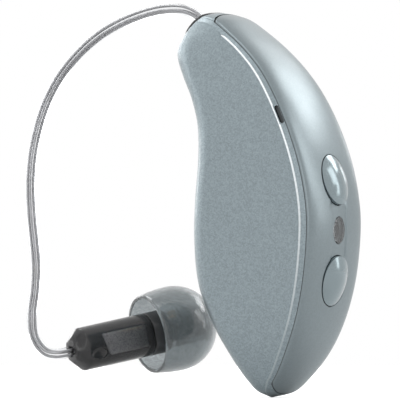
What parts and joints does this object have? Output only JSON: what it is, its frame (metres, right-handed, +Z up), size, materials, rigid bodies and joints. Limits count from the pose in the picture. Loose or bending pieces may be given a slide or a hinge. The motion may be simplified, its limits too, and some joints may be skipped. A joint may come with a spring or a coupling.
{
  "type": "behind the ear hearing aid",
  "caption": "Behind the ear hearing aid: curved satin case with spine buttons, thin formed lead over the ear, receiver and soft ear dome.",
  "frame": {"origin": "hollow of the ear side, where the case rests behind the ear, on the middle plane", "axes": "+Z up as worn, +X to the back of the head, +Y towards the head; the case is upright"},
  "size_m": [0.0298, 0.0147, 0.0325],
  "materials": {
    "satin_case": "satin metallic lacquer over moulded plastic",
    "satin_spine": "satin metallic lacquer over moulded plastic",
    "glossy_button": "glossy metallic lacquer",
    "smoked_window": "smoked clear plastic",
    "dark_plastic": "moulded matt",
    "smoked_plug": "smoked translucent plastic",
    "smoked_housing": "smoked translucent plastic",
    "black_rubber": "moulded rubber",
    "smoke_silicone": "translucent smoke silicone",
    "clear_tube": "clear flexible plastic",
    "silver_wire": "fine stranded wire",
    "bright_metal": "plated steel",
    "can_metal": "drawn metal can",
    "gold_plate": "gold plated",
    "green_board": "solder mask",
    "black_chip": "moulded epoxy",
    "led_white": "moulded package",
    "ferrite": "ground ferrite",
    "copper_wire": "enamelled wire",
    "screen_mesh": "woven screen",
    "white_guard": "moulded matt"
  },
  "bodies": {
    "instrument": {"case_shell": "satin_case", "spine_cover": "satin_spine", "upper_switch": "bright_metal", "lower_switch": "bright_metal", "switch_board": "green_board", "indicator_window": "smoked_window", "indicator_led": "led_white", "chassis_frame": "dark_plastic", "circuit_board": "green_board", "processor_chip": "black_chip", "radio_chip": "black_chip", "charging_chip": "black_chip", "front_microphone": "can_metal", "rear_microphone": "can_metal", "front_gasket": "black_rubber", "rear_gasket": "black_rubber", "microphone_screens": "screen_mesh", "telecoil_core": "ferrite", "telecoil_winding": "copper_wire", "antenna": "gold_plate", "battery_cell": "bright_metal", "battery_insulator": "black_rubber", "battery_cap": "bright_metal", "battery_tabs": "bright_metal", "upper_contact": "gold_plate", "lower_contact": "gold_plate", "connector_socket": "dark_plastic", "socket_springs": "gold_plate"},
    "lead_unit": {"lead_plug": "smoked_plug", "plug_pins": "gold_plate", "plug_seal": "black_rubber", "lead_tube": "clear_tube", "lead_conductors": "silver_wire", "receiver_housing": "smoked_housing", "receiver_motor": "can_metal", "receiver_suspension": "black_rubber", "receiver_collar": "black_rubber", "receiver_spout": "smoked_housing"},
    "dome_body": {"dome": "smoke_silicone"},
    "guard_body": {"wax_guard": "white_guard"},
    "upper_key": {"upper_button": "glossy_button", "upper_plunger": "dark_plastic"},
    "lower_key": {"lower_button": "glossy_button", "lower_plunger": "dark_plastic"}
  },
  "joints": [
    {"name": "upper_button_press", "type": "slide", "parent": "instrument", "child": "upper_key", "axis": [-0.9729, 0, -0.2312], "range_m": [0, 0.00025], "stiffness_N_per_m": 2000},
    {"name": "lower_button_press", "type": "slide", "parent": "instrument", "child": "lower_key", "axis": [-0.9805, 0, 0.1965], "range_m": [0, 0.00025], "stiffness_N_per_m": 2000},
    {"name": "lead_unplug", "type": "slide", "parent": "instrument", "child": "lead_unit", "axis": [-0.6855, 0, 0.728], "range_m": [0, 0.006]},
    {"name": "dome_pull_off", "type": "slide", "parent": "lead_unit", "child": "dome_body", "axis": [0.4303, 0.8823, 0.1908], "range_m": [0, 0.0046]},
    {"name": "wax_guard_pull", "type": "slide", "parent": "lead_unit", "child": "guard_body", "axis": [0.4303, 0.8823, 0.1908], "range_m": [0, 0.003]}
  ]
}
